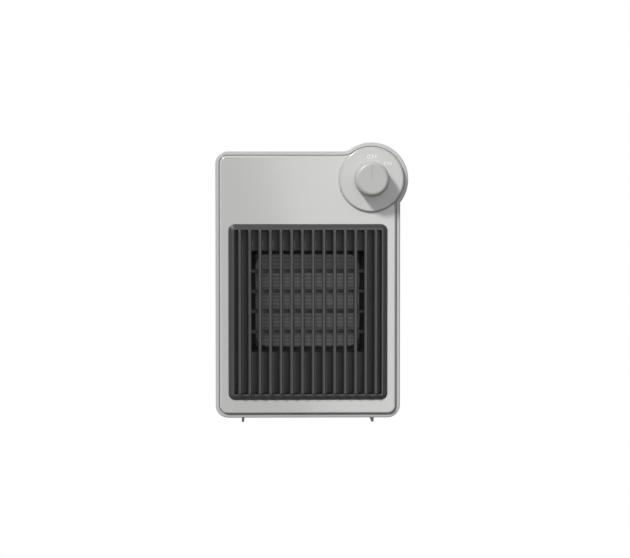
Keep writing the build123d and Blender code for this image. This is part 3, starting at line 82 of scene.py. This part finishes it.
# The studio: a white surround, a key light from the upper left, a tall soft panel beside the
# camera whose left edge shows as a soft step on the glossy front, and a floor that looks
# white and gives back little light.
def linear(code):
    """sRGB hex, such as "C8C8C8", as linear colour with alpha."""
    channels = [int(code[i:i + 2], 16) / 255 for i in (0, 2, 4)]
    return tuple(c / 12.92 if c <= 0.04045 else ((c + 0.055) / 1.055) ** 2.4 for c in channels) + (1.0,)


def add(tree, kind, settings=None, inputs=None):
    """A node with its settings; an input takes a value, or an output socket to link from."""
    node = tree.nodes.new(kind)
    for name, value in (settings or {}).items():
        setattr(node, name, value)
    for name, value in (inputs or {}).items():
        if isinstance(value, bpy.types.NodeSocket):
            tree.links.new(value, node.inputs[name])
        else:
            node.inputs[name].default_value = value
    return node


world = bpy.data.worlds.new("white surround")
world.use_nodes = True
sky = world.node_tree
sky.nodes.clear()
seen = add(sky, "ShaderNodeBackground", inputs={"Color": linear("FFFFFF"), "Strength": 1.0})
fill = add(sky, "ShaderNodeBackground", inputs={"Color": linear("FFFFFF"), "Strength": 0.44})
ray = add(sky, "ShaderNodeLightPath")
either = add(sky, "ShaderNodeMixShader", inputs={
    0: ray.outputs["Is Camera Ray"], 1: fill.outputs[0], 2: seen.outputs[0]})
add(sky, "ShaderNodeOutputWorld", inputs={"Surface": either.outputs[0]})
bpy.context.scene.world = world


def stand(light, place, direction, roll=0.0):
    """Puts a light at place, shining along direction and rolled about it."""
    flat = math.hypot(direction[0], direction[1])
    light.rotation_mode = "XYZ"
    light.rotation_euler = (math.atan2(flat, -direction[2]), 0.0, math.atan2(-direction[0], direction[1]))
    light.location = place
    light.rotation_euler.rotate_axis("Z", roll)
    bpy.context.scene.collection.objects.link(light)


key_data = bpy.data.lights.new("key", "SUN")
key_data.angle = math.radians(8.5)
key_data.energy = 2.85
key_place = (body_x - 1.0, panel_y - 1.5, body_z + 1.5)
key_direction = (0.72, 1.0, -1.0)
stand(bpy.data.objects.new("key", key_data), key_place, key_direction)

panel_data = bpy.data.lights.new("soft panel", "AREA")
panel_data.shape = "RECTANGLE"
panel_data.size = 0.70
panel_data.size_y = 1.80
panel_data.energy = 14.0
panel_place = (body_x + 0.36, panel_y - 2.1, body_z - 0.10)
panel_roll = math.radians(9.5)
panel_light = bpy.data.objects.new("soft panel", panel_data)
panel_light.visible_diffuse = False
stand(panel_light, panel_place, (0.0, 1.0, 0.0), panel_roll)

floor_reach = 6.0
floor_mesh = bpy.data.meshes.new("floor")
floor_corners = [(u * floor_reach, v * floor_reach, 0) for u, v in ((-1, -1), (1, -1), (1, 1), (-1, 1))]
floor_mesh.from_pydata(floor_corners, [], [(0, 1, 2, 3)])
floor = bpy.data.objects.new("floor", floor_mesh)
bpy.context.scene.collection.objects.link(floor)
floor_paint = bpy.data.materials.new("white paper sweep")
floor_paint.use_nodes = True
paper = floor_paint.node_tree
paper.nodes.clear()
glow = add(paper, "ShaderNodeEmission", inputs={"Color": linear("FFFFFF"), "Strength": 1.0})
sheet = add(paper, "ShaderNodeBsdfDiffuse", inputs={"Color": linear("6E6E6E")})
path = add(paper, "ShaderNodeLightPath")
paper_mix = add(paper, "ShaderNodeMixShader", inputs={
    0: path.outputs["Is Camera Ray"], 1: sheet.outputs[0], 2: glow.outputs[0]})
add(paper, "ShaderNodeOutputMaterial", inputs={"Surface": paper_mix.outputs[0]})
floor_mesh.materials.append(floor_paint)
floor.visible_glossy = False


# The shells: casing and rear cover, injection moulded in light grey ABS from polished tools,
# so the skin is smooth and even with a low gloss. The cover screws on from the back.
def moulded(name, colour, roughness, grain_mm, depth_mm, ior=1.52, cloud_mm=35.0, uneven=0.02):
    """Moulded plastic: fine tool grain, faint flow clouds in the tint and an uneven gloss."""
    material = bpy.data.materials.new(name)
    material.use_nodes = True
    tree = material.node_tree
    shader = tree.nodes["Principled BSDF"]
    place = add(tree, "ShaderNodeTexCoord")
    grain = add(tree, "ShaderNodeTexNoise", inputs={
        "Vector": place.outputs["Object"], "Scale": 1.0 / (grain_mm * mm), "Detail": 3.0, "Roughness": 0.6})
    cloud = add(tree, "ShaderNodeTexNoise", inputs={
        "Vector": place.outputs["Object"], "Scale": 1.0 / (cloud_mm * mm), "Detail": 2.0})
    dark = tuple(c * (1 - uneven) for c in linear(colour)[:3]) + (1.0,)
    pale = tuple(min(c * (1 + uneven), 1.0) for c in linear(colour)[:3]) + (1.0,)
    tint = add(tree, "ShaderNodeMix", {"data_type": "RGBA"}, {"Factor": cloud.outputs["Fac"]})
    tint.inputs["A"].default_value = dark
    tint.inputs["B"].default_value = pale
    gloss = add(tree, "ShaderNodeMapRange", inputs={
        "Value": cloud.outputs["Fac"], "To Min": roughness * 0.94, "To Max": roughness * 1.06})
    bump = add(tree, "ShaderNodeBump", inputs={
        "Height": grain.outputs["Fac"], "Strength": 0.3, "Distance": depth_mm * mm})
    tree.links.new(tint.outputs["Result"], shader.inputs["Base Color"])
    tree.links.new(gloss.outputs["Result"], shader.inputs["Roughness"])
    tree.links.new(bump.outputs["Normal"], shader.inputs["Normal"])
    shader.inputs["IOR"].default_value = ior
    return material


def finish(material, *names):
    """Gives CAD nodes this material."""
    for name in names:
        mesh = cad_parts[name].data
        mesh.materials.clear()
        mesh.materials.append(material)


shell_abs = moulded("light grey moulded ABS", "BFBFBE", 0.30, 0.6, 0.015)
finish(shell_abs, "casing", "rear_cover")

# The front panel: a separate moulding in the same ABS from a mirror-polished tool, clipped
# into the casing's rim and screwed to the outlet duct. It shows soft reflections.
panel_abs = moulded("polished light grey ABS", "C4C4C3", 0.12, 1.2, 0.001)
finish(panel_abs, "front_panel")

# The dial plate: a round raised ABS moulding behind the knob, with OFF and ON printed on it
# in white ink, which stands a few hundredths of a millimetre proud.
finish(moulded("satin light grey ABS", "C0C0BF", 0.22, 0.8, 0.004), "dial_plate")
dial_low, dial_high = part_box("dial_plate")
dial_x = (dial_low[0] + dial_high[0]) / 2
dial_z = (dial_low[2] + dial_high[2]) / 2
ink = moulded("white pad-printed ink", "F7F7F5", 0.45, 0.2, 0.01, ior=1.48, cloud_mm=4.0)
ink_thickness = 0.06 * mm
ink_root = 0.01 * mm
same_point = 1e-5
ink_sizes = {"label_off": ("OFF", 0.6, 22.7, 10.0, 3.6), "label_on": ("ON", 16.3, 16.1, 7.7, 3.3)}
for label, (word, right, up, width, height) in ink_sizes.items():
    text_data = bpy.data.curves.new(label, "FONT")
    text_data.body = word
    text_data.resolution_u = 6
    text_data.space_character = 1.15
    text = bpy.data.objects.new(label + "_outline", text_data)
    bpy.context.scene.collection.objects.link(text)
    bpy.context.view_layer.update()
    flat = bpy.data.meshes.new_from_object(text.evaluated_get(bpy.context.evaluated_depsgraph_get()))
    bpy.data.objects.remove(text)
    xs = [v.co.x for v in flat.vertices]
    ys = [v.co.y for v in flat.vertices]
    letters = bmesh.new()
    letters.from_mesh(flat)
    bmesh.ops.remove_doubles(letters, verts=letters.verts, dist=same_point)
    for vertex in letters.verts:
        across = (vertex.co.x - (min(xs) + max(xs)) / 2) / (max(xs) - min(xs)) * width * mm
        along = (vertex.co.y - (min(ys) + max(ys)) / 2) / (max(ys) - min(ys)) * height * mm
        vertex.co = (dial_x + right * mm + across, dial_low[1] + ink_root, dial_z + up * mm + along)
    raised = bmesh.ops.extrude_face_region(letters, geom=letters.faces[:])
    for item in raised["geom"]:
        if isinstance(item, bmesh.types.BMVert):
            item.co.y -= ink_thickness
    bmesh.ops.recalc_face_normals(letters, faces=letters.faces)
    mesh = bpy.data.meshes.new(label)
    letters.to_mesh(mesh)
    letters.free()
    mesh.materials.append(ink)
    piece = bpy.data.objects.new(label, mesh)
    bpy.context.scene.collection.objects.link(piece)
    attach(piece, "heater")

# The knob: a round ABS cap pressed on the switch's flatted shaft, a shade darker than the
# dial, finely matt on its face, with one straight pointer groove.
finish(moulded("fine matt light grey ABS", "BABAB9", 0.36, 0.35, 0.015), "knob")

# The outlet grille and the duct behind it: flame-retardant polypropylene, charcoal grey. The
# tools are spark textured, which leaves an even satin; the duct is rougher and darker.
finish(moulded("charcoal moulded polypropylene", "3E3F3F", 0.38, 0.5, 0.02, ior=1.49), "front_grille")
finish(moulded("charcoal heat-resistant polypropylene", "454646", 0.50, 0.6, 0.04, ior=1.49), "outlet_duct")

# The guard: a perforated steel sheet with a grey heat-proof coating, held between the duct
# and the heater box. Punched holes in even rows let the air through and keep fingers out.
guard_low, guard_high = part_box("guard_mesh")
guard_edge = 0.3 * mm
hole_pitch_x = 2.0 * mm
hole_pitch_z = 3.7 * mm
hole_width = 1.15 * mm
hole_height = 1.5 * mm
solid_border = 4.0 * mm
gauze_gap = 0.6 * mm
gauze_thickness = 0.3 * mm
# Twelve points round a cell, corners first, matched to twelve points round its hole.
third = 1 / 3
around = [(1, 1), (1, third), (1, -third), (1, -1), (third, -1), (-third, -1),
          (-1, -1), (-1, -third), (-1, third), (-1, 1), (-third, 1), (third, 1)]


def perforated(name, front, thickness, shift, hole_size):
    """A flat sheet with a solid border and even rows of holes, shifted by a part of their pitch."""
    width = guard_high[0] - guard_low[0] - 2 * guard_edge
    height = guard_high[2] - guard_low[2] - 2 * guard_edge
    columns = int(width / hole_pitch_x) - 1
    rows = int(height / hole_pitch_z) - 1
    start_x = (guard_low[0] + guard_high[0] - (columns - shift) * hole_pitch_x) / 2
    start_z = (guard_low[2] + guard_high[2] - (rows - shift) * hole_pitch_z) / 2
    vertices = []
    faces = []
    for column in range(columns):
        for row in range(rows):
            x = start_x + (column + 0.5) * hole_pitch_x
            z = start_z + (row + 0.5) * hole_pitch_z
            first = len(vertices)
            vertices += [(x + u * hole_pitch_x / 2, front, z + v * hole_pitch_z / 2) for u, v in around]
            from_side = min(x - guard_low[0], guard_high[0] - x)
            from_end = min(z - guard_low[2], guard_high[2] - z)
            if from_side < solid_border or from_end < solid_border:
                faces.append(tuple(first + i for i in range(len(around))))
                continue
            for i in range(len(around)):
                turn = math.pi / 4 - math.tau / len(around) * i
                hole_x = x + math.cos(turn) * hole_size[0] / 2
                vertices.append((hole_x, front, z + math.sin(turn) * hole_size[1] / 2))
            ring = first + len(around)
            for i in range(len(around)):
                j = (i + 1) % len(around)
                faces.append((first + i, first + j, ring + j, ring + i))
    mesh = bpy.data.meshes.new(name)
    mesh.from_pydata(vertices, [], faces)
    shaped = bmesh.new()
    shaped.from_mesh(mesh)
    bmesh.ops.remove_doubles(shaped, verts=shaped.verts, dist=1e-6)
    bmesh.ops.recalc_face_normals(shaped, faces=shaped.faces)
    shaped.to_mesh(mesh)
    shaped.free()
    piece = bpy.data.objects.new(name, mesh)
    bpy.context.scene.collection.objects.link(piece)
    thick = piece.modifiers.new("sheet thickness", "SOLIDIFY")
    thick.thickness = thickness
    thick.offset = -1.0 if mesh.polygons[0].normal.y < 0 else 1.0
    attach(piece, "heater")
    return piece


punched = (hole_width, hole_height)
guard_sheet = perforated("guard_sheet", guard_low[1], guard_high[1] - guard_low[1], 0.0, punched)
stoved = moulded("grey stoved steel", "9A9B9B", 0.38, 0.4, 0.02, 1.6, 12.0, 0.06)
guard_sheet.data.materials.append(stoved)
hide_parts("guard_mesh")
# A thinner sheet close behind, with its holes between those of the first, blocks the view through the holes;
# its near-black colour is painted shade, so that the holes look dark.
shade_backing_sheet = perforated("shade_backing_sheet", guard_high[1] + gauze_gap, gauze_thickness, 1.0, punched)
shade_backing_sheet.data.materials.append(moulded("black steel painted shade", "3A3B3C", 0.50, 0.4, 0.02, 1.6, 12.0))

# The heater box, fan shroud and element end caps: glass-filled PBT and PPS, black and matt,
# with the short fibres just showing as a mottled gloss.
glass_filled = moulded("black glass-filled PBT", "26272A", 0.58, 0.3, 0.05, 1.6, 3.0, 0.10)
finish(glass_filled, "heater_box", "fan_shroud")
cap_pps = moulded("black PPS", "222120", 0.50, 0.25, 0.04, ior=1.65, cloud_mm=2.5, uneven=0.12)
finish(cap_pps, "element_cap_left", "element_cap_right")


# The heating element: folded aluminium fins between aluminium-cased ceramic bars, pressed
# together by two aluminium rails. Rolled strip shows fine lines along its length.
def metal(name, colour, roughness, line_mm, stretch, depth_mm, tarnish, tarnish_mm=15.0):
    """Bare or plated metal: lines of its rolling, grinding or turning and a patchy tarnish."""
    material = bpy.data.materials.new(name)
    material.use_nodes = True
    tree = material.node_tree
    shader = tree.nodes["Principled BSDF"]
    place = add(tree, "ShaderNodeTexCoord")
    drawn = add(tree, "ShaderNodeMapping", inputs={"Vector": place.outputs["Object"], "Scale": stretch})
    lines = add(tree, "ShaderNodeTexNoise", inputs={
        "Vector": drawn.outputs["Vector"], "Scale": 1.0 / (line_mm * mm), "Detail": 4.0, "Roughness": 0.65})
    patches = add(tree, "ShaderNodeTexNoise", inputs={
        "Vector": place.outputs["Object"], "Scale": 1.0 / (tarnish_mm * mm), "Detail": 4.0})
    worn = add(tree, "ShaderNodeMapRange", inputs={
        "Value": patches.outputs["Fac"], "From Min": 0.35, "From Max": 0.7})
    tint = add(tree, "ShaderNodeMix", {"data_type": "RGBA"}, {"Factor": worn.outputs["Result"]})
    tint.inputs["A"].default_value = linear(colour)
    tint.inputs["B"].default_value = linear(tarnish)
    gloss = add(tree, "ShaderNodeMapRange", inputs={
        "Value": lines.outputs["Fac"], "To Min": roughness * 0.75, "To Max": roughness * 1.25})
    bump = add(tree, "ShaderNodeBump", inputs={
        "Height": lines.outputs["Fac"], "Strength": 0.4, "Distance": depth_mm * mm})
    tree.links.new(tint.outputs["Result"], shader.inputs["Base Color"])
    tree.links.new(gloss.outputs["Result"], shader.inputs["Roughness"])
    tree.links.new(bump.outputs["Normal"], shader.inputs["Normal"])
    shader.inputs["Metallic"].default_value = 1.0
    return material


along_x = (0.05, 1.0, 1.0)
along_y = (1.0, 0.05, 1.0)
all_ways = (1.0, 1.0, 1.0)
fin_strip = metal("rolled aluminium fin strip", "B9BBBD", 0.38, 0.3, along_x, 0.01, "9EA0A2")
finish(fin_strip, *["fin_row_%d" % (i + 1) for i in range(5)], "element_rails")
bar_case = metal("extruded aluminium case", "A9ABAD", 0.45, 0.25, along_x, 0.02, "8F9193")
finish(bar_case, *["heater_bar_%d" % (i + 1) for i in range(4)])
finish(metal("stamped tinned brass", "C9B37A", 0.30, 0.2, along_x, 0.01, "A8905A", 6.0), "element_terminals")

# The cut-out and the fuse: a nickel-plated steel can over a bimetal disc and an axial metal
# fuse, both clipped to the heater box's top. Drawn cans have a smooth bright skin.
nickel = metal("nickel-plated drawn steel", "C6C1B6", 0.22, 0.5, all_ways, 0.01, "A9A398", 8.0)
finish(nickel, "thermal_cutout")
finish(metal("tinned copper fuse case", "BFBBB2", 0.28, 0.4, along_x, 0.01, "A39C8C", 5.0), "thermal_fuse")

# The fan: a seven-bladed impeller moulded in grey glass-filled nylon, pressed on the shaft.
finish(moulded("grey glass-filled nylon", "595B5E", 0.48, 0.35, 0.04, 1.53, 4.0, 0.05), "impeller")

# The motor's carrier and straps: pressed steel, zinc plated and passivated, which leaves a
# cool grey with faint straw patches. The flat spider screws to the shroud's four posts.
zinc = metal("zinc-plated pressed steel", "B8BBC0", 0.34, 1.2, all_ways, 0.02, "A3A39A", 10.0)
finish(zinc, "motor_spider", "front_strap", "rear_strap")

# The motor: a shaded-pole stator of stacked laminations, a cast aluminium rotor, a ground
# shaft in sintered bronze bushes, and a coil wrapped in polyester tape.
finish(metal("ground steel shaft", "A7A8AB", 0.20, 0.1, all_ways, 0.004, "96979A", 6.0), "motor_shaft")
finish(metal("turned aluminium rotor", "9C9DA0", 0.36, 0.2, along_y, 0.01, "86878A", 6.0), "motor_rotor")
bronze = metal("sintered bronze", "9A7B4C", 0.55, 0.15, all_ways, 0.03, "7C6140", 2.0)
finish(bronze, "front_bush", "rear_bush")


def banded(name, first, second, roughness, band_mm, direction, depth_mm, metallic=0.0, soften=1.5):
    """Even bands of one size, such as stacked sheets or turns of tape, as colour and relief."""
    material = bpy.data.materials.new(name)
    material.use_nodes = True
    tree = material.node_tree
    shader = tree.nodes["Principled BSDF"]
    place = add(tree, "ShaderNodeTexCoord")
    bands = add(tree, "ShaderNodeTexWave", {"bands_direction": direction, "wave_profile": "SIN"}, {
        "Vector": place.outputs["Object"], "Scale": math.pi / (10.0 * band_mm * mm), "Distortion": 0.6,
        "Detail": 2.0, "Detail Scale": soften})
    specks = add(tree, "ShaderNodeTexNoise", inputs={
        "Vector": place.outputs["Object"], "Scale": 1.0 / (2.0 * mm), "Detail": 3.0})
    tint = add(tree, "ShaderNodeMix", {"data_type": "RGBA"}, {"Factor": bands.outputs["Fac"]})
    tint.inputs["A"].default_value = linear(first)
    tint.inputs["B"].default_value = linear(second)
    gloss = add(tree, "ShaderNodeMapRange", inputs={
        "Value": specks.outputs["Fac"], "To Min": roughness * 0.8, "To Max": roughness * 1.2})
    bump = add(tree, "ShaderNodeBump", inputs={
        "Height": bands.outputs["Fac"], "Strength": 0.6, "Distance": depth_mm * mm})
    tree.links.new(tint.outputs["Result"], shader.inputs["Base Color"])
    tree.links.new(gloss.outputs["Result"], shader.inputs["Roughness"])
    tree.links.new(bump.outputs["Normal"], shader.inputs["Normal"])
    shader.inputs["Metallic"].default_value = metallic
    return material


# Laminations are 0.5 mm thick and are drawn 1 mm thick, so that their edges show.
finish(banded("stacked steel laminations", "57585B", "3E3F42", 0.50, 1.0, "Y", 0.10, 0.8), "motor_stator")
finish(banded("amber polyester tape", "B5742A", "9A5C1C", 0.35, 5.0, "X", 0.08), "motor_coil")

# Fasteners: bright zinc-plated steel screws, bolts and the switch's ring nut, turned and
# rolled; and the tip-over spring of drawn music wire.
screw_zinc = metal("bright zinc-plated steel", "C4C6CA", 0.26, 0.4, all_ways, 0.01, "AEB0AE", 3.0)
finish(screw_zinc, "cover_screws", "panel_screws", "stack_screws", "spider_screws", "motor_bolts",
       "tip_switch_screws", "terminal_screws", "switch_nut")
finish(metal("drawn spring wire", "9FA1A5", 0.24, 0.1, along_x, 0.004, "8C8E92", 2.0), "tip_spring")

# The spring once more as a piece of its own, a copy of the CAD spring, which is hidden.
coil = bpy.data.objects.new("spring_coil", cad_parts["tip_spring"].data.copy())
bpy.context.scene.collection.objects.link(coil)
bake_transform(coil)
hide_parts("tip_spring")

# Switches and the tip-over pin: black glass-filled nylon. The terminal block is natural
# polyamide, cream and slightly waxy.
nylon = moulded("black glass-filled nylon", "1E1F20", 0.45, 0.3, 0.03, ior=1.53, cloud_mm=3.0, uneven=0.10)
finish(nylon, "switch_shaft", "rotary_switch", "tip_switch", "tip_plunger")
finish(moulded("natural polyamide", "DEDACD", 0.40, 0.5, 0.03, 1.53, 8.0, 0.03), "terminal_block")

# The cord gland and the feet: the gland is dark moulded nylon snapped into the rear cover; the
# thin skids are the casing's own grey ABS, slid into slots of the floor.
finish(moulded("dark grey moulded nylon", "3A3B3C", 0.46, 0.4, 0.03, 1.53, 6.0), "cord_gland")
finish(moulded("grey skid ABS", "BDBDBC", 0.38, 0.5, 0.02), "foot_left", "foot_right")


# The wires: stranded copper in silicone rubber, matt and a little dusty, in the usual colours;
# the motor's leads have a white glass braid.
def insulated(name, colour, roughness):
    """Soft wire insulation with a powdery sheen and small bends of gloss along it."""
    material = moulded(name, colour, roughness, 0.8, 0.04, ior=1.41, cloud_mm=9.0, uneven=0.07)
    shader = material.node_tree.nodes["Principled BSDF"]
    shader.inputs["Sheen Weight"].default_value = 0.25
    shader.inputs["Sheen Roughness"].default_value = 0.5
    return material


finish(insulated("brown silicone rubber", "5A3A26", 0.50), "wire_live")
finish(insulated("blue silicone rubber", "2F5C9E", 0.50), "wire_neutral")
black_silicone = insulated("black silicone rubber", "232324", 0.50)
finish(black_silicone, "wire_switched", "wire_cutout", "wire_fuse", "wire_element")
braid = banded("white glass braid", "E4E2DC", "C9C6BE", 0.70, 0.8, "DIAGONAL", 0.12)
finish(braid, "wire_motor_live", "wire_motor_neutral")
